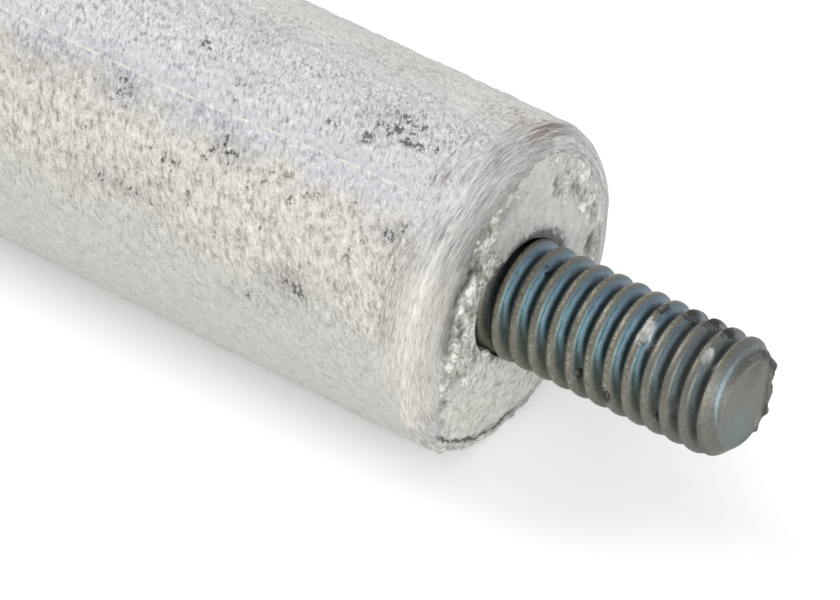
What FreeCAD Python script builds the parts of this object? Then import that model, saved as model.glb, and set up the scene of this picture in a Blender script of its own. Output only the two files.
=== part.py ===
# Water heater anode rod: a magnesium rod cast on a threaded steel stud.
# Millimetres. The rod lies along X with its stud towards +X, and Z is up.
# The origin is on the rod's axis, in the mouth that the stud comes out of.
import FreeCAD, Part
import os
import Sketcher
from FreeCAD import Placement, Rotation, Vector

DRIVING_SIZES = [
    ("rod_diameter", 22.0, "outside of the casting"),
    ("rod_length", 200.0, "from the mouth to the far end"),
    ("far_edge_chamfer", 0.6, "on the edge of the sawn far end"),
    ("face_drop", 0.8, "fall of the stud end's face from the mouth to the rim"),
    ("rim_round", 1.0, "radius on the rim of the stud end"),
    ("seam_angle", 30.5, "first mould seam, turned from the top towards -Y"),
    ("seam_height", 0.14, "flash of a seam above the barrel"),
    ("seam_foot_width", 0.6, "flash of a seam at its foot"),
    ("seam_crest_width", 0.2, "flash of a seam at its crest"),
    ("seam_stop", 4.4, "from the mouth back to where the flash is dressed off"),
    ("mouth_clearance", 0.05, "round the thread where it enters the casting"),
    ("mouth_depth", 3.0, "how far the thread runs into the casting"),
    ("notch_angle", 65.0, "break in the mouth's edge, turned from the top towards -Y"),
    ("notch_bite", 1.2, "how far the break reaches past the mouth's edge"),
    ("notch_upper_side", 2.0, "from the break's middle line to its upper corner"),
    ("notch_lower_side", 2.75, "from the break's middle line to its lower corner"),
    ("notch_depth", 1.4, "how far the break goes in along the rod"),
    ("shank_diameter", 7.0, "plain shank that the rod is cast on"),
    ("shank_depth", 25.0, "from the mouth to the shank's inner end"),
    ("thread_diameter", 7.938, "over the crests, for a 5/16 inch thread"),
    ("thread_pitch", 1.411, "from crest to crest, 18 to the inch"),
    ("thread_depth", 0.87, "from crest to root"),
    ("flank_angle", 60.0, "between the two flanks of the tooth"),
    ("crest_width", 0.25, "flat on top of the rolled tooth"),
    ("first_crest", 0.282, "first crest past the mouth, on top of the stud"),
    ("hidden_turns", 1, "whole turns of the thread inside the mouth"),
    ("stud_length", 16.85, "from the mouth to the tip"),
    ("tip_diameter", 5.81, "flat that the chamfer leaves at the tip"),
]

doc = FreeCAD.newDocument("AnodeRod")
sheet = doc.addObject("Spreadsheet::Sheet", "Sizes")
for row, (alias, value, note) in enumerate(DRIVING_SIZES, start=1):
    sheet.set(f"A{row}", note)
    sheet.set(f"B{row}", str(value))
    sheet.setAlias(f"B{row}", alias)
doc.recompute()

# Distances that several sketches share, worked out from the sheet
ROD_RADIUS = "(Sizes.rod_diameter / 2)"
MOUTH_RADIUS = "(Sizes.thread_diameter / 2 + Sizes.mouth_clearance)"
SHANK_RADIUS = "(Sizes.shank_diameter / 2)"
CREST_RADIUS = "(Sizes.thread_diameter / 2)"
ROOT_RADIUS = "(Sizes.thread_diameter / 2 - Sizes.thread_depth)"


def new_body(label):
    """An empty body whose label names its file."""
    body = doc.addObject("PartDesign::Body", label)
    body.Label = label
    body.Placement = Placement()
    return body


def new_sketch(body, role, name):
    """A sketch on one of the body's own origin planes."""
    sketch = body.newObject("Sketcher::SketchObject", name)
    plane = next(item for item in body.Origin.OriginFeatures if item.Role == role)
    sketch.AttachmentSupport = (plane, "")
    sketch.MapMode = "FlatFace"
    return sketch


def turned_sketch(body, name, angle):
    """A sketch across the rod, turned about the axis by an angle of the sheet."""
    sketch = new_sketch(body, "YZ_Plane", name)
    sketch.AttachmentOffset = Placement(Vector(), Rotation(Vector(0, 0, 1), 1))
    sketch.setExpression(".AttachmentOffset.Rotation.Angle", angle)
    return sketch


def hold(sketch, stretch, end, across, up):
    """Hold one end of a stretch at two distances from the sketch's origin."""
    for kind, axis, distance in (("DistanceX", -2, across), ("DistanceY", -1, up)):
        if distance == "0":
            sketch.addConstraint(Sketcher.Constraint("PointOnObject", stretch, end, axis))
            continue
        value = float(sketch.evalExpression(distance))
        held = sketch.addConstraint(Sketcher.Constraint(kind, -1, 1, stretch, end, value))
        sketch.setExpression(f"Constraints[{held}]", distance)


def draw_outline(sketch, corners, rounded_from=None):
    """Draw clockwise from corner to corner: straight, but a quarter round from the one named."""
    places = []
    for across, up in corners:
        place = Vector(float(sketch.evalExpression(across)), float(sketch.evalExpression(up)), 0)
        places.append(place)
    count = len(corners)
    ends = []
    for stretch in range(count):
        start = places[stretch]
        finish = places[(stretch + 1) % count]
        if corners[stretch] == rounded_from:
            centre = Vector(start.x, finish.y, 0)
            bulge = centre + (start + finish - centre * 2).normalize() * start.distanceToPoint(centre)
            sketch.addGeometry(Part.Arc(finish, bulge, start), False)
            ends.append((2, 1))
        else:
            sketch.addGeometry(Part.LineSegment(start, finish), False)
            ends.append((1, 2))
    for stretch, (across, up) in enumerate(corners):
        following = (stretch + 1) % count
        joint = Sketcher.Constraint("Coincident", stretch, ends[stretch][1], following, ends[following][0])
        sketch.addConstraint(joint)
        hold(sketch, stretch, ends[stretch][0], across, up)
    if rounded_from:
        arc = corners.index(rounded_from)
        sketch.addConstraint(Sketcher.Constraint("Vertical", arc, 3, arc, ends[arc][0]))


def revolve(body, kind, sketch, name):
    """A whole turn of a sketch round the rod's axis, added or cut."""
    feature = body.newObject(kind, name)
    feature.Profile = sketch
    feature.ReferenceAxis = (sketch, ["H_Axis"])
    feature.Angle = 360.0
    body.Tip = feature
    doc.recompute()
    return feature


# The casting
def make_anode_body():
    body = new_body("anode_body")
    section = new_sketch(body, "XZ_Plane", "BarrelSection")
    rim = ("-Sizes.face_drop - Sizes.rim_round", ROD_RADIUS)
    corners = [
        ("-Sizes.rod_length", "0"),
        ("-Sizes.rod_length", f"{ROD_RADIUS} - Sizes.far_edge_chamfer"),
        ("-Sizes.rod_length + Sizes.far_edge_chamfer", ROD_RADIUS),
        rim,
        ("-Sizes.face_drop", f"{ROD_RADIUS} - Sizes.rim_round"),
        ("0", MOUTH_RADIUS),
        ("0", "0"),
    ]
    draw_outline(section, corners, rounded_from=rim)
    revolve(body, "PartDesign::Revolution", section, "Barrel")
    add_seams(body)
    cut_socket(body)
    cut_notch(body)
    return body


def add_seams(body):
    """Two lines of flash, opposite each other, where the mould's halves met."""
    section = turned_sketch(body, "SeamSection", "Sizes.seam_angle")
    section.setExpression(".AttachmentOffset.Base.z", "-Sizes.seam_stop")
    crest = f"{ROD_RADIUS} + Sizes.seam_height"
    foot = f"{ROD_RADIUS} - Sizes.seam_height"
    corners = [
        ("-Sizes.seam_foot_width / 2", foot),
        ("-Sizes.seam_crest_width / 2", crest),
        ("Sizes.seam_crest_width / 2", crest),
        ("Sizes.seam_foot_width / 2", foot),
    ]
    draw_outline(section, corners)
    seam = body.newObject("PartDesign::Pad", "Seam")
    seam.Profile = section
    seam.Reversed = True
    seam.setExpression("Length", "Sizes.rod_length - Sizes.seam_stop - Sizes.far_edge_chamfer")
    doc.recompute()
    both = body.newObject("PartDesign::PolarPattern", "BothSeams")
    both.Originals = [seam]
    both.Axis = (section, ["N_Axis"])
    both.Angle = 360.0
    both.Occurrences = 2
    body.Tip = both
    doc.recompute()


def cut_socket(body):
    """The stepped hole that the thread and the shank fill."""
    section = new_sketch(body, "XZ_Plane", "SocketSection")
    corners = [
        ("-Sizes.shank_depth", "0"),
        ("-Sizes.shank_depth", SHANK_RADIUS),
        ("-Sizes.mouth_depth", SHANK_RADIUS),
        ("-Sizes.mouth_depth", MOUTH_RADIUS),
        ("0", MOUTH_RADIUS),
        ("0", "0"),
    ]
    draw_outline(section, corners)
    revolve(body, "PartDesign::Groove", section, "Socket")


def cut_notch(body):
    """The piece that has broken out of the mouth's edge."""
    outline = turned_sketch(body, "NotchOutline", "Sizes.notch_angle")
    corners = [
        ("-Sizes.notch_lower_side", f"{MOUTH_RADIUS} * 0.7"),
        ("-Sizes.notch_lower_side * 0.65", f"{MOUTH_RADIUS} + Sizes.notch_bite * 0.25"),
        ("Sizes.notch_upper_side * 0.4", f"{MOUTH_RADIUS} + Sizes.notch_bite"),
        ("Sizes.notch_upper_side", f"{MOUTH_RADIUS} * 0.8"),
    ]
    draw_outline(outline, corners)
    notch = body.newObject("PartDesign::Pocket", "Notch")
    notch.Profile = outline
    notch.setExpression("Length", "Sizes.notch_depth")
    body.Tip = notch
    doc.recompute()


# The stud
def make_threaded_stud():
    body = new_body("threaded_stud")
    section = new_sketch(body, "XZ_Plane", "BlankSection")
    corners = [
        ("-Sizes.shank_depth", "0"),
        ("-Sizes.shank_depth", SHANK_RADIUS),
        ("-Sizes.mouth_depth", SHANK_RADIUS),
        ("-Sizes.mouth_depth", ROOT_RADIUS),
        ("Sizes.stud_length", ROOT_RADIUS),
        ("Sizes.stud_length", "0"),
    ]
    draw_outline(section, corners)
    revolve(body, "PartDesign::Revolution", section, "Blank")
    roll_thread(body)
    point_tip(body)
    return body


def roll_thread(body):
    """One tooth carried along the blank as a right-handed helix."""
    section = new_sketch(body, "XZ_Plane", "ToothSection")
    middle = "(Sizes.first_crest - Sizes.hidden_turns * Sizes.thread_pitch)"
    crest = "Sizes.crest_width / 2"
    foot = f"{crest} + Sizes.thread_depth * tan(Sizes.flank_angle / 2)"
    sunk = f"{ROOT_RADIUS} - Sizes.thread_depth / 4"
    corners = [
        (f"{middle} - ({foot})", sunk),
        (f"{middle} - ({foot})", ROOT_RADIUS),
        (f"{middle} - {crest}", CREST_RADIUS),
        (f"{middle} + {crest}", CREST_RADIUS),
        (f"{middle} + {foot}", ROOT_RADIUS),
        (f"{middle} + {foot}", sunk),
    ]
    draw_outline(section, corners)
    tooth = body.newObject("PartDesign::AdditiveHelix", "Tooth")
    tooth.Profile = section
    tooth.ReferenceAxis = (section, ["H_Axis"])
    tooth.Mode = "pitch-height-angle"
    tooth.LeftHanded = False
    tooth.setExpression("Pitch", "Sizes.thread_pitch")
    tooth.setExpression("Height", f"Sizes.stud_length - {middle} + Sizes.thread_pitch / 2")
    body.Tip = tooth
    doc.recompute()


def point_tip(body):
    """Chamfer the tip down to its flat, and take off the tooth that runs past it."""
    section = new_sketch(body, "XZ_Plane", "TipSection")
    flat = "Sizes.tip_diameter / 2"
    clear_radius = f"({CREST_RADIUS} + Sizes.thread_pitch)"
    clear_end = "Sizes.stud_length + 3 * Sizes.thread_pitch"
    corners = [
        ("Sizes.stud_length", "0"),
        ("Sizes.stud_length", flat),
        (f"Sizes.stud_length + {flat} - {clear_radius}", clear_radius),
        (clear_end, clear_radius),
        (clear_end, "0"),
    ]
    draw_outline(section, corners)
    revolve(body, "PartDesign::Groove", section, "Tip")


pieces = [make_anode_body(), make_threaded_stud()]
doc.recompute()
for item in doc.Objects:
    if "Invalid" in item.State or "Error" in item.State:
        raise RuntimeError(f"{item.Name} did not build")
for piece in pieces:
    if piece.Shape.isNull() or not piece.Shape.isValid() or len(piece.Shape.Solids) != 1:
        raise RuntimeError(f"{piece.Label} is not one sound solid")

os.makedirs("parts", exist_ok=True)
for piece in pieces:
    piece.Shape.exportStep(f"parts/{piece.Label}.step")
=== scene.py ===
"""The looks of a water heater anode rod: a magnesium rod cast on a threaded steel stud."""
import math

import bmesh
import bpy
import numpy as np
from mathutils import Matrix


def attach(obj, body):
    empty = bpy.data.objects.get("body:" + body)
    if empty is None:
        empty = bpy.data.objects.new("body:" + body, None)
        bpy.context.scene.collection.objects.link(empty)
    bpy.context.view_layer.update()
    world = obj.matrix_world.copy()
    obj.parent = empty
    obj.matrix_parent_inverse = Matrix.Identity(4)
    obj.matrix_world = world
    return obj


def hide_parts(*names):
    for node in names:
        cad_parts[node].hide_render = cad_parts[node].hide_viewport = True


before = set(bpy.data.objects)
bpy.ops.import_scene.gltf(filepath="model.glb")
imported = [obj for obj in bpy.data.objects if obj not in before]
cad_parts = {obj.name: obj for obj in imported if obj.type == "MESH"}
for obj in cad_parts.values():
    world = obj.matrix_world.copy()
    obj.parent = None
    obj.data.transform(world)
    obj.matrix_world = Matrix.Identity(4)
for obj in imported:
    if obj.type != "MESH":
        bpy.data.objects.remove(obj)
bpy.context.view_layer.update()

MM = 0.001
ROD_RADIUS = 11.0
ROD_LENGTH = 200.0
MOUTH_RADIUS = 3.99
SHANK_RADIUS = 3.5
SHANK_DEPTH = 25.0
SHANK_CLEARANCE = 0.02
MOUTH_DEPTH = 3.0
FAR_EDGE = 0.6
RIM = -1.4            # where the barrel ends and the dressed rim begins
SEAM = 120.5          # the first mould seam, from +Y towards the top
SEAM_STOP = -4.4
# The seam lies this many degrees low at first, and drifts up by that many between two places
SEAM_LOW = 2.0
SEAM_DRIFT = 3.0
DRIFT_FROM = -24.0
DRIFT_TO = -6.0

COLUMNS = 320         # squares round the rod
FINE_SKIN = -38.0     # from here to the stud the skin is cut finer, and finer still
FINEST_SKIN = -20.0
RINGS_ON_FACE = 28
CUT_TOLERANCE = 1e-7
WEIGHT_STEPS = 24

CREST_RADIUS = 3.969
PITCH = 1.411
FIRST_CREST = 0.282
STUD_LENGTH = 16.85
STUD_INNER_END = -2.95
TIP_RADIUS = 2.905
THREAD_STEPS = 120    # to a turn
TURNS_WOUND = 17
TURNS_BACK = 4        # of them, inside the casting
FLOOR = -11.06

# Round the rod in degrees, from +Y towards the top: where the flat of the stud end stops
FLAT_ENDS = {
    27: 9.0, 60: 9.3, 74: 9.5, 86: 9.0, 96: 8.5, 118: 8.3, 134: 7.7, 169: 7.1, 206: 8.5, 226: 9.9, 254: 9.8, 310: 9.6}
# How far that flat falls back from the mouth to there
FLAT_FALLS = {27: 0.45, 71: 0.35, 100: 0.28, 134: 0.32, 169: 0.35, 206: 0.5, 235: 0.85, 270: 0.95, 320: 0.7}
# Where the rim goes over into the barrel
RIM_STARTS = {0: -2.1, 27: -2.3, 60: -2.0, 90: -1.5, 134: -1.4, 206: -1.4, 254: -1.35, 310: -1.6}
# How far the mouth's edge is broken away
MOUTH_BREAK = {
    62: 0.0, 80: 0.22, 92: 0.36, 108: 0.42, 120: 0.42, 127: 0.6, 134: 0.95, 141: 1.1, 148: 1.25, 156: 1.15, 170: 0.95,
    185: 0.85, 198: 0.6, 206: 0.0}
# How torn the flat is
FLAT_TEARS = {
    30: 0.55, 50: 0.6, 72: 0.3, 92: 0.3, 108: 0.6, 122: 1.0, 150: 1.0, 188: 0.95, 206: 0.5, 224: 0.22, 250: 0.2,
    300: 0.3}

# Open pits in the skin, and the brown ones among them: along, round, half length, half height, and how much
DARK_PITS = [
    (-9.3, 108.5, 0.45, 0.4, 1), (-8.1, 101.1, 0.5, 0.3, 1), (-8.4, 103.6, 0.4, 0.25, 0.8),
    (-8.0, 95.6, 0.5, 0.3, 1), (-6.9, 96.6, 0.5, 0.25, 1), (-6.8, 104, 0.3, 0.3, 1),
    (-5.9, 103.2, 0.5, 0.3, 1), (-11.9, 108.7, 0.4, 0.25, 0.8), (-9.0, 102.1, 0.35, 0.25, 0.8),
    (-4.8, 102.2, 0.3, 0.3, 0.6), (-9.1, 95.5, 0.3, 0.2, 0.6), (-9.5, 91.9, 0.2, 0.2, 0.7),
    (-8.2, 98.5, 0.5, 0.2, 0.7), (-7.1, 100, 0.3, 0.3, 0.6), (-10.3, 114.2, 0.25, 0.2, 0.5),
    (-10.7, 103.9, 0.2, 0.2, 0.5), (-25.9, 128.2, 0.5, 0.7, 0.5), (-25.3, 131.6, 0.5, 0.5, 0.45),
    (-26.2, 131.3, 0.4, 0.5, 0.4), (-17.6, 130.5, 0.25, 0.4, 0.9), (-17.0, 133.5, 0.45, 0.25, 1),
    (-16.4, 132.5, 0.3, 0.25, 1), (-18.2, 134.5, 0.3, 0.2, 0.7), (-16.6, 136.6, 0.25, 0.2, 0.7),
    (-15.9, 136.8, 0.3, 0.2, 0.7), (-22.3, 141.5, 0.2, 0.35, 0.6), (-18.7, 110.7, 0.3, 0.3, 0.6),
    (-19.5, 109.4, 0.3, 0.3, 0.5), (-18.3, 116, 0.2, 0.25, 0.6), (-17.0, 106.2, 0.15, 0.2, 0.6),
    (-14.5, 115.8, 0.12, 0.25, 0.8), (-21.3, 122.6, 0.2, 0.3, 0.6), (-22.8, 102.4, 0.35, 0.3, 0.9),
    (-22.3, 102.8, 0.2, 0.2, 0.7), (-4.4, 134, 0.5, 0.6, 0.6), (-3.8, 132.1, 0.4, 0.5, 0.6),
    (-10.3, 164.1, 0.25, 0.35, 0.9), (-9.4, 164.4, 0.35, 0.4, 0.9), (-8.9, 166.1, 0.25, 0.25, 0.8),
    (-11.5, 162.9, 0.2, 0.3, 0.6), (-9.9, 159.5, 0.2, 0.2, 0.6), (-12.9, 175.3, 0.15, 0.15, 0.7),
    (-25.1, 158.5, 0.4, 0.25, 0.7), (-23.7, 157.8, 0.3, 0.25, 0.6), (-22.5, 158, 0.4, 0.25, 0.6),
]
BROWN_PITS = [
    (-3.1, 111.2, 0.35, 0.4, 0.8), (-3.9, 111.6, 0.3, 0.4, 0.7), (-18.5, 138.5, 0.3, 0.3, 0.9),
    (-21.1, 144.7, 0.15, 0.55, 0.9), (-20.3, 144.5, 0.15, 0.45, 0.9), (-21.8, 147.6, 0.15, 0.35, 0.7),
    (-22.8, 159.1, 0.2, 0.3, 0.9), (-21.3, 159.4, 0.35, 0.15, 0.9), (-18.6, 152.3, 0.15, 0.5, 0.8),
    (-14.8, 139.7, 0.4, 0.25, 0.7), (-13.8, 136.8, 0.4, 0.3, 0.6), (-13.9, 132.8, 0.3, 0.2, 0.5),
    (-12.4, 130.5, 0.2, 0.3, 0.6), (-11.8, 137.7, 0.2, 0.4, 0.7), (-10.9, 134.8, 0.35, 0.3, 0.8),
    (-10.3, 133, 0.3, 0.25, 0.7), (-9.8, 133.4, 0.3, 0.2, 0.7), (-6.6, 145.5, 0.2, 0.35, 0.9),
    (-6.0, 139.8, 0.25, 0.25, 0.6), (-8.7, 137.1, 0.2, 0.3, 0.6), (-7.5, 130.8, 0.2, 0.25, 0.5),
    (-15.5, 146.4, 0.2, 0.3, 0.6), (-17.4, 144.2, 0.15, 0.3, 0.6), (-28.5, 156.6, 0.2, 0.4, 0.6),
    (-30.9, 151, 0.2, 0.35, 0.6), (-27.1, 146.7, 0.2, 0.35, 0.6), (-33.5, 135.3, 0.2, 0.3, 0.5),
    (-19.5, 160.3, 0.2, 0.3, 0.6), (-16.0, 159.6, 0.2, 0.3, 0.6), (-13.0, 149.8, 0.2, 0.3, 0.6),
    (-14.0, 160.5, 0.15, 0.25, 0.6), (-3.2, 143.3, 0.2, 0.25, 0.5),
]

# Darker patches and brown stains on the barrel: along, round, half length, half height, and how much
DARK_PATCHES = [
    (-26.2, 129, 2.0, 1.3, 0.55), (-32.0, 131, 3.0, 1.4, 0.6), (-17.0, 132, 1.8, 0.9, 0.6),
    (-4.3, 134, 1.0, 0.9, 0.7), (-8.6, 101, 2.6, 1.6, 0.5), (-10.5, 164, 1.6, 1.0, 0.6),
    (-29.0, 122, 5.0, 0.8, 0.35), (-22.0, 127, 6.0, 1.0, 0.3),
    (-24.0, 158, 4.0, 0.6, 0.4), (-12.4, 176, 2.4, 0.5, 0.4), (-19.0, 109.5, 1.2, 0.6, 0.5),
]
STAINS = [
    (-1.7, 69, 0.9, 2.2, 1.0), (-20.3, 82, 1.6, 1.8, 0.6), (-3.8, 72, 1.6, 1.6, 0.9), (-9.7, 165, 1.4, 1.3, 0.5),
    (-3.4, 110, 0.5, 0.4, 0.8), (-12.0, 70, 3.0, 1.5, 0.5),
]

# Blows on the thread: along, round, how deep, how wide, and how far the metal moved along
KNOCKS = [
    (10.2, 112, 0.32, 0.75, 0.05),
    (10.75, 120, 0.2, 0.6, 0.0),
    (11.5, 68, 0.3, 0.6, 0.1),
    (12.9, 64, 0.35, 0.7, -0.1),
    (14.5, 72, 0.25, 0.6, 0.0),
    (14.67, 108.8, 0.25, 0.7, 0.0),
    (7.0, 187, 0.35, 0.5, 0.12),
    (9.1, 189, 0.3, 0.45, -0.1),
    (12.6, 199, 0.35, 0.5, 0.1),
    (13.9, 172, 0.15, 0.7, 0.0),
]

# Worn and dirty places on the thread: along, round, half length, half height, and how much
WORN = [
    (10.3, 113, 0.5, 0.95, 1.0), (11.0, 121, 0.3, 0.6, 0.6), (14.67, 108.8, 0.3, 0.6, 1.0), (15.4, 113.7, 0.25, 0.5, 0.8),
]
DIRTY = [
    (11.6, 68, 0.5, 0.9, 1.0), (13.0, 64, 0.5, 1.0, 1.0), (14.4, 70, 0.4, 0.8, 0.8), (10.2, 82, 0.3, 0.7, 0.7),
    (7.0, 186, 0.35, 0.5, 0.9), (9.1, 188, 0.3, 0.6, 0.9), (12.7, 198, 0.3, 0.6, 0.9), (2.3, 96, 0.25, 0.4, 0.8),
]


def select_only(piece):
    """Leaves one piece selected and active."""
    bpy.ops.object.select_all(action="DESELECT")
    piece.select_set(True)
    bpy.context.view_layer.objects.active = piece


def edit(piece, kind):
    """Opens a piece for editing its VERT, EDGE or FACE elements."""
    select_only(piece)
    bpy.ops.object.mode_set(mode="EDIT")
    bpy.ops.mesh.select_mode(type=kind)
    bpy.ops.mesh.select_all(action="DESELECT")


def pick(piece, kind, wanted):
    """Selects the elements of an open piece for which wanted() is true."""
    bpy.ops.mesh.select_all(action="DESELECT")
    mesh = bmesh.from_edit_mesh(piece.data)
    elements = {"VERT": mesh.verts, "EDGE": mesh.edges, "FACE": mesh.faces}[kind]
    for element in elements:
        if wanted(element):
            element.select_set(True)
    bmesh.update_edit_mesh(piece.data)


def close_edit():
    bpy.ops.object.mode_set(mode="OBJECT")


def read_places(piece):
    """The vertices in millimetres: along the rod, out from its axis and round it in degrees."""
    places = np.empty(len(piece.data.vertices) * 3)
    piece.data.vertices.foreach_get("co", places)
    along, across, up = (places.reshape(-1, 3) / MM).T
    return along.copy(), np.hypot(across, up), np.degrees(np.arctan2(up, across)) % 360


def write_places(piece, along, out, round_rod):
    angle = np.radians(round_rod)
    places = np.column_stack((along, out * np.cos(angle), out * np.sin(angle))) * MM
    piece.data.vertices.foreach_set("co", places.ravel())
    piece.data.update()


def round_values(table, round_rod):
    """A value that changes round the rod, read between the angles of a table."""
    return np.interp(round_rod, list(table), list(table.values()), period=360)


def smooth_step(value, low, high):
    share = np.clip((value - low) / (high - low), 0, 1)
    return share * share * (3 - 2 * share)


def weigh(piece, name, weights):
    """A vertex group that holds a weight for each vertex."""
    group = piece.vertex_groups.new(name=name)
    levels = np.round(np.clip(weights, 0, 1) * WEIGHT_STEPS).astype(int)
    for level in range(1, WEIGHT_STEPS + 1):
        members = np.flatnonzero(levels == level)
        if len(members):
            group.add(members.tolist(), level / WEIGHT_STEPS, "REPLACE")


def marks(piece, name, along, turn, places, radius):
    """A soft attribute over a list of places: along, round, half length, half height, and how much."""
    total = np.zeros_like(along)
    for x, angle, half_x, half_arc, much in places:
        side = np.radians((turn - angle + 180) % 360 - 180) * radius
        reach = ((along - x) / half_x) ** 2 + (side / half_arc) ** 2
        total = np.maximum(total, much * (1 - smooth_step(reach, 0.2, 2.2)))
    attribute = piece.data.attributes.new(name, "FLOAT", "POINT")
    attribute.data.foreach_set("value", total)
    return total


def roughen(piece, name, size, height, group, middle=0.5, contrast=1.0, depth=2):
    """Displaces a piece by a cloudy texture, in millimetres, where a vertex group allows it."""
    texture = bpy.data.textures.new(name, "CLOUDS")
    texture.noise_scale = size * MM
    texture.contrast = contrast
    texture.noise_depth = depth
    modifier = piece.modifiers.new(name, "DISPLACE")
    modifier.texture = texture
    modifier.texture_coords = "LOCAL"
    modifier.strength = height * MM
    modifier.mid_level = middle
    modifier.vertex_group = group
    select_only(piece)
    bpy.ops.object.modifier_apply(modifier=name)


# Cast rod

def turned_blank():
    """A plain round bar with a stepped hole in its end, its skin cut into small squares."""
    bpy.ops.object.select_all(action="DESELECT")
    bpy.ops.mesh.primitive_cylinder_add(
        vertices=COLUMNS, radius=ROD_RADIUS * MM, depth=ROD_LENGTH * MM, end_fill_type="NGON",
        location=(-ROD_LENGTH / 2 * MM, 0, 0), rotation=(0, math.pi / 2, 0))
    rod = bpy.context.object
    rod.name = rod.data.name = "cast_rod"
    bpy.ops.object.transform_apply(location=True, rotation=True, scale=True)
    edit(rod, "EDGE")
    for cut in (FINE_SKIN, FINEST_SKIN, RIM):
        bpy.ops.mesh.select_all(action="SELECT")
        bpy.ops.mesh.bisect(plane_co=(cut * MM, 0, 0), plane_no=(1, 0, 0), threshold=CUT_TOLERANCE)
    for low, high, cuts in ((-ROD_LENGTH, FINE_SKIN, 64), (FINE_SKIN, FINEST_SKIN, 80), (FINEST_SKIN, RIM, 84)):
        pick(rod, "EDGE", lambda edge: abs(edge.verts[0].co.x - edge.verts[1].co.x) > 1e-5
             and min(v.co.x for v in edge.verts) > (low - 0.01) * MM
             and max(v.co.x for v in edge.verts) < (high + 0.01) * MM)
        bpy.ops.mesh.subdivide(number_cuts=cuts)
    bpy.ops.mesh.select_mode(type="FACE")
    pick(rod, "FACE", lambda face: face.normal.x > 0.9)
    for _ in range(RINGS_ON_FACE):
        bpy.ops.mesh.inset(thickness=(ROD_RADIUS - MOUTH_RADIUS) / RINGS_ON_FACE * MM)
    for step in (0.3, 0.3, 0.3, 0.3, 0.3, 0.2, 1.3):
        bpy.ops.mesh.extrude_region_move(TRANSFORM_OT_translate={"value": (-step * MM, 0, 0)})
    bpy.ops.mesh.inset(thickness=(MOUTH_RADIUS - SHANK_RADIUS - SHANK_CLEARANCE) * MM)
    bpy.ops.mesh.extrude_region_move(
        TRANSFORM_OT_translate={"value": ((MOUTH_DEPTH - SHANK_DEPTH - SHANK_CLEARANCE) * MM, 0, 0)})
    bpy.ops.mesh.select_mode(type="EDGE")
    pick(rod, "EDGE", lambda edge: all(v.co.x < (0.01 - ROD_LENGTH) * MM for v in edge.verts))
    bpy.ops.mesh.bevel(offset=FAR_EDGE * MM, segments=2)
    bpy.ops.mesh.select_mode(type="FACE")
    pick(rod, "FACE", lambda face: face.normal.x < -0.999)
    for step in (0.5, 2.5, 3.5, 3.0):
        bpy.ops.mesh.inset(thickness=step * MM)
    close_edit()
    return rod


def shape_stud_end(rod):
    """Grinds the rim, lets the flat fall back to it and breaks the mouth's edge."""
    along, out, turn = read_places(rod)
    in_hole = (along < 0.01) & (along > -3.2) & (out < MOUTH_RADIUS + 0.02)
    bite = round_values(MOUTH_BREAK, turn)
    bite *= 1 + 0.05 * np.sin(np.radians(turn * 11))
    widen = np.interp(-along, (0, 0.3, 0.6, 0.9, 1.2, 1.45, 1.65), (1.0, 0.93, 0.85, 0.74, 0.6, 0.3, 0.0))
    face = (along > -0.01) & ~in_hole
    uneven = 0.12 * np.sin(np.radians(turn * 9)) + 0.08 * np.sin(np.radians(turn * 17))
    flat_end = round_values(FLAT_ENDS, turn) + uneven
    fall = round_values(FLAT_FALLS, turn)
    mouth = MOUTH_RADIUS + bite
    share = (out - MOUTH_RADIUS) / (ROD_RADIUS - MOUTH_RADIUS)
    spread = mouth + share * (ROD_RADIUS - mouth)
    on_flat = np.clip((spread - mouth) / (flat_end - mouth), 0, 1)
    over_rim = np.clip((spread - flat_end) / (ROD_RADIUS - flat_end), 0, 0.999)
    rolled = 1 - np.sqrt(1 - over_rim ** 2)
    start = round_values(RIM_STARTS, turn)
    face_x = -fall * on_flat ** 1.5 + (start + fall) * rolled
    moved_from = -6.0
    near_rim = ~face & ~in_hole & (along > moved_from) & (out > ROD_RADIUS - 0.1)
    squeeze = (start - moved_from) / (RIM - moved_from)
    along = np.where(near_rim, moved_from + (along - moved_from) * squeeze, along)
    along = np.where(face, face_x, along)
    out = np.where(face, spread, out)
    out = np.where(in_hole, MOUTH_RADIUS + bite * widen, out)
    write_places(rod, along, out, turn)


def raise_seams(rod):
    """Two thin lines of flash where the halves of the mould met, which drift a little along the rod."""
    along, out, turn = read_places(rod)
    barrel = (out > ROD_RADIUS - 0.05) & (along < RIM)
    for seam, drifting in ((SEAM, 1), (SEAM + 180, 0)):
        near = (turn - seam + 180) % 360 - 180
        drift = drifting * (SEAM_LOW - SEAM_DRIFT * smooth_step(along, DRIFT_FROM, DRIFT_TO))
        turn = np.where(barrel, turn + drift * np.exp(-(near / 6) ** 2), turn)
        broken = 0.62 + 0.25 * np.sin(along * 1.9) + 0.13 * np.sin(along * 5.3 + 1)
        fade = 1 - smooth_step(along, SEAM_STOP - 1.2, SEAM_STOP + 0.4)
        ridge = np.exp(-(near / 0.7) ** 2) * 0.12 * broken * fade
        out = np.where(barrel, out + ridge, out)
    write_places(rod, along, out, turn)


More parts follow.
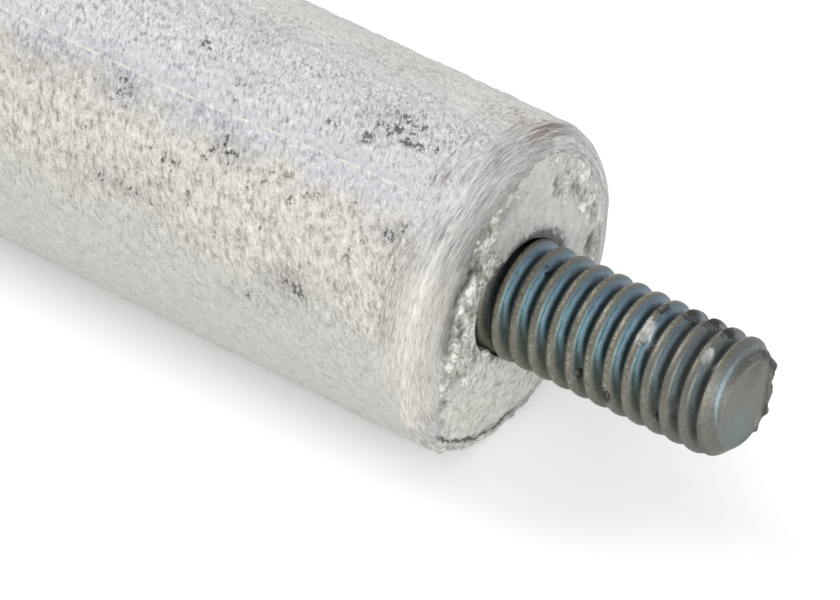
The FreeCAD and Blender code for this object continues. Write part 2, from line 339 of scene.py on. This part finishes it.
def texture_rod(rod):
    """The cast skin, its open pores and the torn metal round the stud."""
    along, out, turn = read_places(rod)
    barrel = out > ROD_RADIUS - 0.25
    fine = smooth_step(along, -46, -38) * (1 - smooth_step(along, -3.6, -1.2)) * barrel
    above_seam = np.exp(-((turn - SEAM + 2.2) / 1.5) ** 2) * smooth_step(-along, 4, 6)
    grain = 0.55 + 0.45 * smooth_step(turn, 122, 132) * (1 - smooth_step(turn, 160, 176))
    weigh(rod, "waves", fine)
    weigh(rod, "skin", fine * grain * (1 - 0.8 * above_seam))
    pits = marks(rod, "dark pits", along, turn, DARK_PITS, ROD_RADIUS)
    pits = np.maximum(pits, marks(rod, "brown pits", along, turn, BROWN_PITS, ROD_RADIUS))
    marks(rod, "smudges", along, turn, DARK_PATCHES, ROD_RADIUS)
    marks(rod, "stains", along, turn, STAINS, ROD_RADIUS)
    weigh(rod, "pits", pits * barrel)
    flat_end = round_values(FLAT_ENDS, turn)
    mouth = MOUTH_RADIUS + round_values(MOUTH_BREAK, turn)
    flat = (along > RIM - 0.4) & (out > MOUTH_RADIUS + 0.15) & (out < flat_end + 0.3)
    ring = smooth_step(out, mouth + 0.15, mouth + 0.9) * (1 - smooth_step(out, flat_end - 0.6, flat_end + 0.3))
    outer_only = np.maximum(smooth_step(turn, 108, 124) * (turn < 300), smooth_step(out, 5.5, 7.5))
    torn = round_values(FLAT_TEARS, turn) * flat * ring * outer_only
    weigh(rod, "torn", torn)
    lower_rim = (along > RIM - 0.6) & (out > 9.6)
    chips = lower_rim * smooth_step(turn, 212, 228) * (1 - smooth_step(turn, 285, 310))
    weigh(rod, "chips", chips * (1 - smooth_step(-along, 1.3, 1.9)))
    weigh(rod, "face", flat * 1.0)
    roughen(rod, "slow waves", 4.0, 0.14, "waves", depth=1)
    roughen(rod, "coarse skin", 0.9, 0.36, "skin")
    roughen(rod, "fine skin", 0.4, 0.34, "skin", contrast=1.3, depth=3)
    roughen(rod, "open pits", 0.45, -0.45, "pits", middle=0.2)
    roughen(rod, "wavy face", 1.6, 0.09, "face")
    roughen(rod, "torn metal", 1.5, 0.7, "torn", contrast=1.4, depth=3)
    roughen(rod, "torn grains", 0.5, 0.14, "torn")
    roughen(rod, "chipped rim", 0.8, -0.36, "chips", middle=0.45, contrast=1.4)


# Threaded stud

def draw_wire(name, points):
    """An open wire through points, extruded vertex by vertex."""
    bpy.ops.object.select_all(action="DESELECT")
    bpy.ops.mesh.primitive_plane_add(size=MM, location=(0, 0, 0))
    wire = bpy.context.object
    wire.name = wire.data.name = name
    edit(wire, "VERT")
    bpy.ops.mesh.select_all(action="SELECT")
    bpy.ops.mesh.merge(type="CENTER")
    bpy.ops.mesh.select_all(action="SELECT")
    bpy.ops.transform.translate(value=[part * MM for part in points[0]])
    for start, end in zip(points, points[1:]):
        step = [(b - a) * MM for a, b in zip(start, end)]
        bpy.ops.mesh.extrude_vertices_move(TRANSFORM_OT_translate={"value": step})
    close_edit()
    return wire


def rolled_thread():
    """A right-handed rolled thread with rounded crests, one tooth wound along the stud."""
    half_tooth = [(0.0, 0.0), (0.1, 0.008), (0.19, 0.032), (0.265, 0.08), (0.33, 0.155), (0.395, 0.265),
                  (0.46, 0.39), (0.525, 0.525), (0.585, 0.64), (0.635, 0.72), (PITCH / 2, 0.77)]
    start = FIRST_CREST - PITCH * TURNS_BACK
    tooth = [(start - a, 0, CREST_RADIUS - d) for a, d in reversed(half_tooth)]
    tooth += [(start + a, 0, CREST_RADIUS - d) for a, d in half_tooth[1:]]
    stud = draw_wire("threaded_stud_skin", tooth)
    wind = stud.modifiers.new("wind", "SCREW")
    wind.axis = "X"
    wind.angle = math.tau
    wind.screw_offset = PITCH * MM
    wind.iterations = TURNS_WOUND
    wind.steps = wind.render_steps = THREAD_STEPS
    wind.use_merge_vertices = False
    select_only(stud)
    bpy.ops.object.modifier_apply(modifier="wind")
    edit(stud, "VERT")
    bpy.ops.mesh.select_all(action="SELECT")
    bpy.ops.mesh.remove_doubles(threshold=0.004 * MM)
    for cut, inner in ((STUD_INNER_END, True), (STUD_LENGTH, False)):
        bpy.ops.mesh.select_all(action="SELECT")
        bpy.ops.mesh.bisect(
            plane_co=(cut * MM, 0, 0), plane_no=(1, 0, 0), use_fill=True, clear_inner=inner,
            clear_outer=not inner, threshold=CUT_TOLERANCE)
    bpy.ops.mesh.select_all(action="SELECT")
    bpy.ops.mesh.normals_make_consistent(inside=False)
    bpy.ops.mesh.select_mode(type="FACE")
    pick(stud, "FACE", lambda face: face.normal.x < -0.999 and len(face.verts) > 8)
    bpy.ops.mesh.extrude_region_move(TRANSFORM_OT_translate={"value": (-0.05 * MM, 0, 0)})
    bpy.ops.mesh.extrude_region_move(TRANSFORM_OT_translate={"value": ((MOUTH_DEPTH - SHANK_DEPTH) * MM, 0, 0)})
    close_edit()
    along, out, turn = read_places(stud)
    out = np.where(along < STUD_INNER_END - 0.02, SHANK_RADIUS, out)
    write_places(stud, along, out, turn)
    return stud


def turn_tip(stud):
    """Brings the thread down to the chamfer and the flat of the tip."""
    along, out, turn = read_places(stud)
    chamfer = TIP_RADIUS + (STUD_LENGTH - along)
    out = np.where(along > STUD_LENGTH - 1.2, np.minimum(out, chamfer), out)
    write_places(stud, along, out, turn)


def raise_burr(stud):
    """The broken burr on the far side of the tip's edge."""
    along, out, turn = read_places(stud)
    side = (turn + 180) % 360 - 180
    window = smooth_step(side, -84, -66) * (1 - smooth_step(side, 46, 62))
    wave = np.radians(side)
    torn = 0.3 + 0.1 * np.sin(wave * 7 + 0.6) + 0.09 * np.sin(wave * 17 + 2.2) + 0.07 * np.sin(wave * 31)
    torn -= 0.45 * np.exp(-((side + 5) / 6) ** 2) + 0.25 * np.exp(-((side + 34) / 4) ** 2)
    at_edge = smooth_step(along, STUD_LENGTH - 0.9, STUD_LENGTH - 0.1) * (out > TIP_RADIUS - 0.2)
    out = out + torn * window * at_edge
    along = along - 0.16 * window * at_edge * (0.5 + 0.5 * np.sin(wave * 13 + 1))
    write_places(stud, along, np.minimum(out, CREST_RADIUS), turn)


def knock(stud, along, turn, depth, reach, shift=0.0):
    """A blow on the thread: pushes the metal nearest to a place inwards and along the stud."""
    angle = math.radians(turn)
    outward = (math.cos(angle), math.sin(angle))
    place = (along * MM, CREST_RADIUS * MM * outward[0], CREST_RADIUS * MM * outward[1])
    mesh = bmesh.from_edit_mesh(stud.data)
    bpy.ops.mesh.select_all(action="DESELECT")
    nearest = min(mesh.verts, key=lambda v: sum((have - want) ** 2 for have, want in zip(v.co, place)))
    nearest.select_set(True)
    bmesh.update_edit_mesh(stud.data)
    bpy.ops.transform.translate(
        value=(shift * MM, -outward[0] * depth * MM, -outward[1] * depth * MM), use_proportional_edit=True,
        proportional_edit_falloff="SMOOTH", proportional_size=reach * MM)


def build_stud():
    stud = rolled_thread()
    turn_tip(stud)
    raise_burr(stud)
    edit(stud, "VERT")
    for blow in KNOCKS:
        knock(stud, *blow)
    close_edit()
    along, out, turn = read_places(stud)
    marks(stud, "worn", along, turn, WORN, CREST_RADIUS)
    marks(stud, "dirty", along, turn, DIRTY, CREST_RADIUS)
    return stud


def smooth(piece, angle):
    select_only(piece)
    bpy.ops.object.shade_smooth_by_angle(angle=math.radians(angle))


# Finishes

class Number:
    """A number that varies over a surface. Arithmetic on it adds Math nodes."""

    def __init__(self, finish, socket):
        self.finish = finish
        self.socket = socket

    def __add__(self, other):
        return self.finish.math("ADD", self, other)

    def __radd__(self, other):
        return self.finish.math("ADD", other, self)

    def __sub__(self, other):
        return self.finish.math("SUBTRACT", self, other)

    def __rsub__(self, other):
        return self.finish.math("SUBTRACT", other, self)

    def __mul__(self, other):
        return self.finish.math("MULTIPLY", self, other)

    def __rmul__(self, other):
        return self.finish.math("MULTIPLY", other, self)

    def __truediv__(self, other):
        return self.finish.math("DIVIDE", self, other)

    def __rtruediv__(self, other):
        return self.finish.math("DIVIDE", other, self)


def colour(red, green, blue):
    """A colour as a screen shows it, 0 to 255, turned into what the shader reads."""
    return tuple((part / 255 / 12.92 if part < 11 else ((part / 255 + 0.055) / 1.055) ** 2.4)
                 for part in (red, green, blue)) + (1.0,)


class Finish:
    """A material and the nodes that it is made of."""

    def __init__(self, name):
        self.material = bpy.data.materials.new(name)
        self.material.use_nodes = True
        self.tree = self.material.node_tree
        self.shader = self.tree.nodes["Principled BSDF"]

    def node(self, kind, settings=None, inputs=None, output=0):
        """A node of a type, with its settings and then the values or links of its sockets."""
        made = self.tree.nodes.new(kind)
        for name, value in (settings or {}).items():
            if name == "stops":
                while len(made.color_ramp.elements) < len(value):
                    made.color_ramp.elements.new(0.5)
                for stop, (position, tint) in zip(made.color_ramp.elements, value):
                    stop.position = position
                    stop.color = tint
            else:
                setattr(made, name, value)
        for name, value in (inputs or {}).items():
            self.feed(made.inputs[name], value)
        return Number(self, made.outputs[output])

    def feed(self, socket, value):
        if isinstance(value, Number):
            self.tree.links.new(value.socket, socket)
        else:
            socket.default_value = value

    def math(self, operation, *values):
        return self.node("ShaderNodeMath", {"operation": operation}, dict(enumerate(values)))

    def step(self, value, low, high):
        """A soft mask that goes from 0 to 1 as a value goes from low to high."""
        return self.node("ShaderNodeMapRange", {"interpolation_type": "SMOOTHSTEP"},
                         {"Value": value, "From Min": low, "From Max": high})

    def between(self, value, low, high, soft):
        return self.step(value, low - soft, low + soft) * (1 - self.step(value, high - soft, high + soft))

    def mix(self, mask, first, second):
        return self.node("ShaderNodeMix", {"data_type": "RGBA"}, {0: mask, 6: first, 7: second}, 2)

    def vector(self, x, y, z):
        return self.node("ShaderNodeCombineXYZ", None, {0: x, 1: y, 2: z})

    def noise(self, vector, size, detail=2.0, rough=0.5, warp=0.0):
        """Cloudy noise with lumps of about a size in the vector's own units."""
        return self.node("ShaderNodeTexNoise", None, {
            "Vector": vector, "Scale": 1 / size, "Detail": detail, "Roughness": rough, "Distortion": warp})

    def ramp(self, value, stops):
        return self.node("ShaderNodeValToRGB", {"stops": stops}, {"Fac": value})

    def places(self):
        """The place itself, then along the rod, round it in degrees from the first seam, and out from its axis."""
        place = self.node("ShaderNodeTexCoord", None, None, "Object")
        place = self.node("ShaderNodeVectorMath", {"operation": "SCALE"}, {0: place, "Scale": 1 / MM})
        split = self.node("ShaderNodeSeparateXYZ", None, {0: place})
        along = split
        across = Number(self, split.socket.node.outputs[1])
        up = Number(self, split.socket.node.outputs[2])
        sine, cosine = math.sin(math.radians(SEAM)), math.cos(math.radians(SEAM))
        turn = self.math("ARCTAN2", up * cosine - across * sine, across * cosine + up * sine) * math.degrees(1)
        out = self.math("SQRT", across * across + up * up)
        return place, along, turn, out

    def mark(self, name):
        """An attribute that the mesh carries."""
        return self.node("ShaderNodeAttribute", {"attribute_name": name}, None, "Fac")

    def bump(self, height, depth, below=None):
        """Relief of a height in millimetres, on top of another relief."""
        inputs = {"Height": height, "Distance": depth * MM, "Strength": 1.0}
        if below is not None:
            inputs["Normal"] = below
        return self.node("ShaderNodeBump", None, inputs)

    def finish(self, inputs):
        for name, value in inputs.items():
            self.feed(self.shader.inputs[name], value)
        return self.material


def turn_share(angle):
    """Where an angle from +Y lies between the far seam at both ends of a ramp."""
    return ((angle - SEAM + 180) % 360) / 360


def grey(value):
    return (value, value, value, 1.0)


def round_ramp(finish, turn, table, scale):
    """A ramp that reads a table of angles and values, in the shader, as round_values does."""
    stops = sorted((turn_share(angle), grey(value / scale)) for angle, value in table.items())
    return finish.ramp(turn / 360 + 0.5, stops) * scale


# In the finishes, turn is counted in degrees from the first seam, downwards on the side that the camera sees

def cast_magnesium():
    """Bare cast magnesium: dull light skin full of short dark pits, a linished rim and torn metal, with painted tints
    of light, painted shade and painted highlights in its colour.
    """
    finish = Finish("bare_magnesium")
    place, along, turn, out = finish.places()
    arc = turn * (math.pi * ROD_RADIUS / 180)
    drift = finish.noise(place, 3.0, 2.0)
    jitter = (drift - 0.5) * 26

    # The skin's tone round the rod is partly painted light: the lavender tint above and the cream tint below stand in
    # for cool light from above and warm light from below.
    skin = finish.ramp((turn + jitter) / 360 + 0.5, [
        (0.0, colour(202, 203, 197)), (turn_share(20), colour(206, 206, 202)),
        (turn_share(72), colour(224, 223, 219)), (turn_share(90), colour(206, 205, 207)),
        (turn_share(126), colour(198, 197, 202)), (turn_share(137), colour(216, 213, 205)),
        (turn_share(157), colour(211, 208, 200)), (turn_share(171), colour(204, 204, 197)),
        (turn_share(200), colour(204, 204, 198)), (1.0, colour(201, 202, 195))])

    # Skin: short dark strokes that are partly painted shade, painted highlights between them, a crumpled creamy zone
    # below the seam that is partly painted light and shade, faint strands elsewhere
    mottle = finish.noise(place, 1.3, 3.0, 0.6)
    skin = finish.mix((mottle - 0.35) * 0.5, skin, colour(178, 178, 180))

    leaning = finish.vector(along * 0.885 - arc * 0.466, (along * 0.466 + arc * 0.885) * 0.42, out * 0.5)
    strokes = finish.noise(leaning, 0.22, 3.0, 0.62, 0.2)
    coarse = finish.noise(place, 0.5, 3.0, 0.6, 0.5)
    warm_zone = finish.between(turn + jitter, 9, 46, 6)
    plain = finish.step(turn + jitter, -30, -44) + finish.step(turn + jitter, 44, 60)
    clumps = finish.step(finish.noise(place, 2.2, 2.0), 0.36, 0.62)
    # The dark strokes are partly painted shade: they darken the skin where its small bumps would be shaded.
    stroke_mask = finish.step(strokes + (coarse - 0.5) * 0.45, 0.53, 0.64) * (1 - plain * 0.75)
    stroke_tint = finish.mix(warm_zone, colour(131, 131, 135), colour(132, 124, 111))
    skin = finish.mix(stroke_mask * (0.44 - warm_zone * 0.34 + clumps * 0.28), skin, stroke_tint)
    # Painted highlights: pale flecks between the strokes, where the bumps would catch the light.
    painted_highlights = finish.step(strokes + (coarse - 0.5) * 0.4, 0.46, 0.34) * (1 - plain * 0.6)
    skin = finish.mix(painted_highlights * 0.4, skin, colour(240, 239, 236))
    # The creamy zone's crumpled tone is partly painted light and shade: darker in its creases and paler on its lumps.
    crumple = finish.noise(leaning, 0.3, 3.0, 0.6, 0.25) * 0.6 + coarse * 0.4
    crumple_tone_and_shading = finish.ramp(crumple, [
        (0.37, colour(146, 138, 124)), (0.44, colour(196, 191, 181)), (0.5, colour(217, 213, 206)),
        (0.6, colour(238, 235, 229))])
    skin = finish.mix(warm_zone * 0.7, skin, crumple_tone_and_shading)
    strands = finish.noise(finish.vector(along * 0.5 + arc * 0.4, arc * 0.9 - along * 0.25, out), 0.5, 4.0, 0.7)
    skin = finish.mix(finish.step(strands, 0.5, 0.66) * plain * 0.45, skin, colour(164, 161, 154))

    # Darker patches, open pits and stains
    ragged = finish.step(coarse * 0.6 + strokes * 0.4, 0.42, 0.58)
    smudges = finish.mark("smudges")
    skin = finish.mix(smudges * (0.12 + ragged * 0.5), skin, colour(122, 121, 126))
    dark_pits = finish.mark("dark pits")
    brown_pits = finish.mark("brown pits")
    broken = finish.noise(place, 0.3, 3.0, 0.6)
    crumbs = broken * 0.55 + strokes * 0.45
    open_dark = finish.step(crumbs + dark_pits * 0.13, 0.57, 0.64) * finish.step(dark_pits, 0.05, 0.3)
    open_brown = finish.step(crumbs + brown_pits * 0.13, 0.58, 0.66) * finish.step(brown_pits, 0.05, 0.3)
    skin = finish.mix(open_dark * 0.85, skin, colour(88, 87, 86))
    skin = finish.mix(open_brown * 0.8, skin, colour(116, 101, 82))
    stain_strokes = finish.noise(finish.vector(along, arc * 0.35, out), 0.22, 3.0, 0.6)
    stains = finish.mark("stains")
    skin = finish.mix(stains * finish.step(stain_strokes, 0.48, 0.62) * 0.6, skin, colour(134, 108, 92))

    # The seam, with a smoother band above it
    seam_turn = turn - SEAM_LOW + finish.step(along, DRIFT_FROM, DRIFT_TO) * SEAM_DRIFT
    gaps = finish.step(finish.noise(finish.vector(along, 0.0, 0.0), 1.3, 4.0, 0.7), 0.42, 0.56)
    before_end = finish.step(along, SEAM_STOP + 0.3, SEAM_STOP - 0.7)
    wavering = seam_turn + (coarse - 0.5) * 1.6 + (drift - 0.5) * 1.2
    ridge = finish.between(wavering, -0.4, 0.4, 0.35) * before_end * (0.2 + gaps * 0.8)
    above = finish.between(seam_turn + (coarse - 0.5) * 4, -3.4, -0.9, 0.7) * before_end
    skin = finish.mix(above * 0.55, skin, colour(200, 201, 203))
    skin = finish.mix(ridge * 0.85, skin, colour(224, 220, 207))

    # The linished rim and the barrel next to it
    flat_end = round_ramp(finish, turn, FLAT_ENDS, 12)
    round_rim = finish.vector(out - along, arc * 0.1, 0.0)
    broad = finish.noise(round_rim, 0.34, 3.0, 0.65)
    fine = finish.noise(round_rim, 0.1, 3.0, 0.7)
    streaks = broad * 0.45 + fine * 0.55
    ground = finish.ramp(streaks, [
        (0.36, colour(222, 220, 217)), (0.46, colour(196, 194, 192)), (0.54, colour(168, 166, 164)),
        (0.64, colour(120, 118, 115))])
    wedge = finish.step(out - flat_end + (broad - 0.5) * 3, 1.5, 0.1) * finish.between(turn, -50, 20, 9)
    wedge_tone = finish.mix(finish.step(fine, 0.4, 0.62), colour(158, 157, 154), colour(116, 115, 112))
    ground = finish.mix(wedge * 0.6, ground, wedge_tone)
    cream_rim = finish.between(turn + jitter, 16, 90, 12)
    ground = finish.mix(cream_rim * 0.85, ground, finish.ramp(broad * 0.25 + fine * 0.75, [
        (0.34, colour(230, 227, 220)), (0.5, colour(211, 208, 201)), (0.64, colour(164, 157, 146))]))
    ground = finish.mix(stains * finish.step(broad, 0.42, 0.56) * 0.7, ground, colour(112, 88, 78))
    reach_back = along + (drift - 0.5) * 3 + (broad - 0.5) * 6
    sanded = finish.step(reach_back, -3.6, -2.2) * finish.between(turn + jitter, -46, 66, 12)
    body_tone = finish.mix(sanded * 0.9, skin, ground)

    # The face: smeared metal, a torn ring with painted glints, darkening round the stud, and painted shade in the
    # hole
    rim_start = round_ramp(finish, turn, {angle: -start for angle, start in RIM_STARTS.items()}, 3)
    on_end = finish.step(along + rim_start, -0.15, 0.1)
    edge_noise = (finish.noise(place, 1.3, 5.0, 0.7) - 0.5) * 2.6
    on_flat = finish.step(flat_end + edge_noise - out, -0.1, 0.1) * on_end
    grains = finish.noise(place, 0.5, 5.0, 0.66, 0.3)
    lumps = finish.noise(place, 1.5, 2.0)
    # The torn metal's grains are partly painted highlights: the palest of them stand in for glints off its crystals.
    torn_tone_and_glints = finish.ramp(grains + (lumps - 0.5) * 0.9, [
        (0.32, colour(130, 129, 121)), (0.42, colour(180, 179, 171)), (0.53, colour(212, 211, 204)),
        (0.64, colour(248, 247, 241))])
    smear = finish.ramp(finish.noise(place, 0.8, 5.0, 0.75), [
        (0.34, colour(172, 172, 169)), (0.48, colour(190, 190, 187)), (0.66, colour(204, 204, 201))])
    below = finish.between(turn, 86, 170, 8)
    smear = finish.mix(below * 0.8, smear, finish.ramp(grains, [
        (0.32, colour(150, 146, 136)), (0.43, colour(200, 198, 190)), (0.6, colour(232, 230, 223))]))
    tears = round_ramp(finish, turn, FLAT_TEARS, 1.0)
    outer_only = finish.math("MAXIMUM", finish.between(turn, -5, 180, 7), finish.step(out, 5.5, 7.5))
    torn = finish.step(tears * outer_only + (finish.noise(place, 1.0, 4.0, 0.65) - 0.5) * 1.4, 0.38, 0.6)
    specks = finish.step(finish.noise(place, 0.24, 3.0, 0.65), 0.54, 0.64)
    torn_tone_and_glints = finish.mix(specks * 0.6, torn_tone_and_glints, colour(98, 92, 80))
    flat = finish.mix(torn, smear, torn_tone_and_glints)
    # The flat is darker close to the mouth of the hole, more so on one side.
    mouth_darkening = finish.step(out + (coarse - 0.5) * 1.6 + finish.step(turn, 10, 40) * 0.5, 5.0, 4.3)
    flat = finish.mix(mouth_darkening * 0.85, flat, colour(58, 58, 56))
    step_shade = (finish.between(out - flat_end + edge_noise * 0.6, -0.35, 0.05, 0.16)
                  * finish.between(turn, -8, 74, 7) * finish.step(coarse, 0.36, 0.52))
    tone = finish.mix(on_end, body_tone, ground)
    tone = finish.mix(on_flat, tone, flat)
    tone = finish.mix(step_shade * on_end * 0.65, tone, colour(112, 110, 103))
    # Painted shade: the hole's walls deeper in are painted near black, where little light reaches.
    in_hole = finish.step(out, 8.5, 7.5) * finish.between(along, -60, -0.35, 0.2)
    tone = finish.mix(in_hole * finish.step(turn, 66, 50), tone, colour(44, 44, 42))

    # The crack along the lower rim and the pale lip outside it
    crack = (finish.between(out + (coarse - 0.5) * 0.9, 9.95, 10.2, 0.1) * finish.between(turn, 100, 152, 4)
             * finish.step(finish.noise(place, 0.5, 3.0), 0.3, 0.44) * on_end)
    tone = finish.mix(crack * 0.9, tone, colour(72, 63, 50))
    lip = finish.between(turn, 100, 150, 5) * finish.step(out, 10.25, 10.4) * finish.step(grains, 0.42, 0.56) * on_end
    tone = finish.mix(lip * 0.7, tone, colour(234, 232, 224))

    on_skin = (1 - on_end) * (1 - sanded * 0.8) * (1 - above * 0.75)
    relief = finish.bump((strokes * -0.8 + coarse * 0.7 - broken * 0.5 + crumple * (0.6 + warm_zone * 2.4)) * on_skin
                         + grains * on_flat * (torn * 0.7 + below * 0.4), 0.18)
    relief = finish.bump(fine * finish.math("MAXIMUM", on_end * (1 - on_flat), sanded) * -1.0, 0.02, relief)
    relief = finish.bump(finish.noise(place, 0.12, 2.0, 0.6), 0.02, relief)
    rough = 0.55 + (mottle - 0.5) * 0.3 - on_flat * torn * 0.2 + above * 0.25
    return finish.finish({"Base Color": tone, "Roughness": rough, "Metallic": 0.5, "Normal": relief})


def plated_steel():
    """Zinc plating dulled to blue, teal and brown, which follows the thread, and bare grey at the tip, with painted
    glints, a painted reflection and painted shade on the teeth.
    """
    finish = Finish("dull_zinc_plate")
    place, along, turn, out = finish.places()
    wound = (along - FIRST_CREST - (turn + (SEAM - 90)) * (PITCH / 360)) / PITCH
    phase = finish.math("FRACT", wound + 20.5) - 0.5
    cloudy = finish.noise(place, 0.9, 3.0, 0.6)
    speckle = finish.noise(place, 0.14, 3.0, 0.7)
    phase = phase + (cloudy - 0.5) * 0.08 + (speckle - 0.5) * 0.06 - finish.step(turn, 20, 55) * 0.09
    round_share = (turn + SEAM) / 360

    # Crest, flank and root, coloured by their place on the tooth, with painted glints on the crests, a painted
    # reflection of the sky along each root and painted shade in the roots
    flank = finish.ramp(round_share, [
        (0.17, colour(98, 116, 126)), (0.3, colour(98, 126, 138)), (0.38, colour(88, 120, 126)),
        (0.45, colour(86, 108, 104)), (0.55, colour(100, 104, 90)), (0.7, colour(88, 90, 78))])
    # A painted reflection: a thin pale blue line where the root would reflect the light from above.
    sky_reflection_line = finish.ramp(round_share, [
        (0.22, colour(120, 140, 155)), (0.3, colour(165, 200, 225)), (0.42, colour(160, 196, 212)),
        (0.5, colour(120, 128, 118)), (0.6, colour(104, 106, 92))])
    glints = finish.step(finish.noise(place, 0.2, 3.0, 0.7), 0.46, 0.62) * finish.between(phase, -0.15, 0.03, 0.05)
    crest = finish.mix(finish.noise(place, 0.35, 3.0, 0.7), colour(92, 93, 86), colour(128, 127, 117))
    crest = finish.mix(glints * 0.5, crest, colour(192, 185, 160))
    tone = finish.mix(finish.step(phase, 0.1, 0.24), crest, flank)
    tone = finish.mix(finish.between(phase, 0.27, 0.37, 0.035), tone, sky_reflection_line)
    # Painted shade: the root and the far flank of each tooth are darkened where the thread's groove is shaded.
    tone = finish.mix(finish.step(phase, 0.38, 0.44) * 0.8, tone, colour(48, 60, 64))
    tone = finish.mix(finish.step(phase, -0.16, -0.26) * 0.8, tone, colour(60, 72, 75))
    # Painted shade: the thread just before its first crest is near black, in the gap at the mouth.
    tone = finish.mix(finish.between(wound, -0.5, -0.09, 0.06) * 0.95, tone, colour(12, 12, 12))
    tone = finish.mix(finish.step(wound, -0.5, -0.6) * 0.85, tone, colour(104, 103, 92))

    # Wear and dirt
    bare = finish.step(along + (cloudy - 0.5) * 4, 9.5, 13.5)
    bare_tone = finish.mix(cloudy, colour(82, 82, 78), colour(124, 123, 117))
    tone = finish.mix(bare * 0.7, tone, bare_tone)
    tone = finish.mix(finish.step(speckle, 0.56, 0.72) * 0.35, tone, colour(58, 56, 50))
    tone = finish.mix(finish.step(speckle, 0.44, 0.3) * 0.18, tone, colour(200, 196, 178))
    flakes = finish.step(finish.noise(place, 0.3, 3.0, 0.6), 0.42, 0.54)
    worn = finish.step(finish.mark("worn") + (speckle - 0.5) * 1.6 + (flakes - 0.5) * 0.3, 0.5, 0.9)
    dirty = finish.step(finish.mark("dirty") + (speckle - 0.5) * 1.4 + (flakes - 0.5) * 0.5, 0.45, 0.75)
    tone = finish.mix(dirty * 0.85, tone, colour(42, 42, 40))
    tone = finish.mix(worn * 0.7, tone, colour(190, 191, 187))

    # The tip and its burr
    tip = finish.step(along, STUD_LENGTH - 0.06, STUD_LENGTH - 0.02)
    rings = finish.noise(finish.vector(out * 3, turn * 0.02, 0.0), 1.0, 3.0)
    tip_tone = finish.mix(rings, colour(104, 106, 102), colour(130, 131, 126))
    tip_tone = finish.mix(finish.between(turn, 60, 175, 20) * 0.4, tip_tone, colour(104, 128, 122))
    tone = finish.mix(tip, tone, tip_tone)
    side = finish.math("WRAP", turn + SEAM, 180.0, -180.0)
    burr = (finish.between(side, -72, 52, 8) * finish.step(along, STUD_LENGTH - 1.0, STUD_LENGTH - 0.5)
            * finish.step(out, TIP_RADIUS - 0.15, TIP_RADIUS + 0.1))
    tone = finish.mix(burr * 0.9, tone, finish.mix(speckle, colour(20, 22, 21), colour(92, 96, 90)))
    near_edge = finish.step(out + (cloudy - 0.5) * 2, TIP_RADIUS - 0.95, TIP_RADIUS - 0.6)
    mint = tip * finish.between(side, -62, 16, 6) * near_edge * flakes
    tone = finish.mix(mint * 0.7, tone, colour(168, 196, 178))
    relief = finish.bump(speckle * 0.8 + cloudy, 0.035)
    rough = 0.42 + (cloudy - 0.5) * 0.3
    return finish.finish({"Base Color": tone, "Roughness": rough, "Metallic": 0.7, "Normal": relief})


rod = turned_blank()
shape_stud_end(rod)
raise_seams(rod)
texture_rod(rod)
smooth(rod, 60)
stud = build_stud()
smooth(stud, 50)

for piece, node, slot, finish in (
        (rod, "anode_body", "cast_magnesium", cast_magnesium()),
        (stud, "threaded_stud", "plated_steel", plated_steel())):
    piece.data.materials.append(finish)
    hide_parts(node)
    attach(piece, "root")

# Stage

bpy.ops.object.select_all(action="DESELECT")
bpy.ops.mesh.primitive_plane_add(size=4.0, location=(0, 0, FLOOR * MM))
floor = bpy.context.object
floor.name = "floor"

camera = bpy.data.objects.new("camera", bpy.data.cameras.new("camera"))
bpy.context.collection.objects.link(camera)
camera.location = (173.89 * MM, -240.24 * MM, 246.74 * MM)
camera.rotation_euler = (math.radians(90 - 39.79), 0, math.radians(37.12))
camera.data.lens = 267.68
camera.data.sensor_width = 36
camera.data.clip_start = 0.01
bpy.context.scene.camera = camera

world = bpy.data.worlds.new("studio")
bpy.context.scene.world = world
world.use_nodes = True
air = world.node_tree.nodes["Background"]
air.inputs["Color"].default_value = (1.0, 1.0, 1.0, 1.0)
air.inputs["Strength"].default_value = 0.73
bpy.context.scene.view_settings.view_transform = "Standard"


def soft_box(name, place, turned, size, power):
    """A square lamp that shines down its own -Z, turned in degrees."""
    lamp = bpy.data.objects.new(name, bpy.data.lights.new(name, "AREA"))
    bpy.context.collection.objects.link(lamp)
    lamp.data.size = size
    lamp.data.energy = power
    lamp.location = place
    lamp.rotation_euler = [math.radians(angle) for angle in turned]


soft_box("left soft box", (-0.36, -0.06, 0.36), (-8, -45, 0), 0.36, 1.3)
soft_box("end soft box", (0.42, -0.25, 0.2), (0, 68, -30), 0.3, 1.4)

paper = Finish("floor_paper")
seen = paper.node("ShaderNodeLightPath", None, None, "Is Camera Ray")
paper.shader.inputs["Base Color"].default_value = (0.92, 0.92, 0.92, 1.0)
paper.shader.inputs["Roughness"].default_value = 0.9
paper.shader.inputs["Specular IOR Level"].default_value = 0.0
glow = paper.node("ShaderNodeEmission", None, {"Strength": seen * 0.2})
blend = paper.node("ShaderNodeAddShader", None, {0: Number(paper, paper.shader.outputs[0]), 1: glow})
paper.tree.links.new(blend.socket, paper.tree.nodes["Material Output"].inputs["Surface"])
floor.data.materials.append(paper.material)
